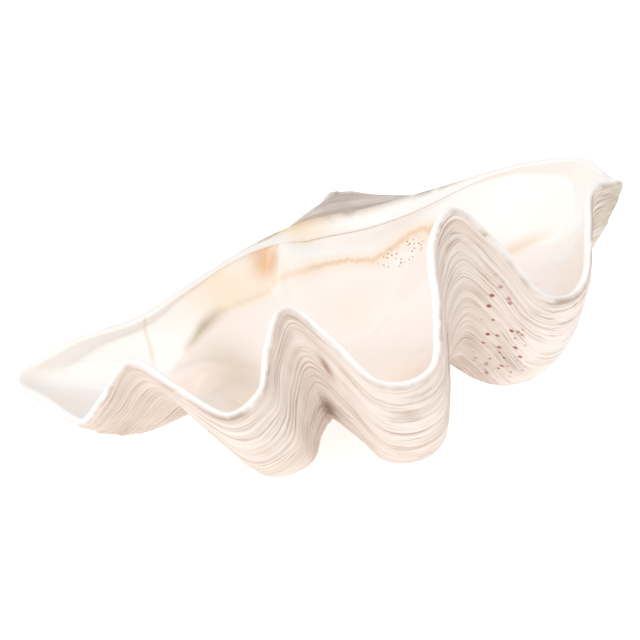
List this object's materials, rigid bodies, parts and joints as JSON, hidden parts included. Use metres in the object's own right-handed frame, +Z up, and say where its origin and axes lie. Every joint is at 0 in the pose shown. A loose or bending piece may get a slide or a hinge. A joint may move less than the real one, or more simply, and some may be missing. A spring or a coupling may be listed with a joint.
{
  "type": "giant clam shell valve",
  "caption": "Large fluted bivalve shell half, lying hollow side up on its ribs, with wavy folded lip, smooth pearly bowl and curled beak at the hinge.",
  "frame": {"origin": "centre of the bounding box in plan, on the surface the shell stands on", "axes": "+X along the hinge side from the low tip to the high tip, +Y from the wavy front lip to the hinge and beak, +Z up"},
  "size_m": [0.578, 0.3896, 0.3077],
  "materials": {
    "shell": "chalky and growth-lined outside, smooth and porcelain-like inside"
  },
  "bodies": {
    "root": {"clam_valve": "shell"}
  },
  "joints": []
}
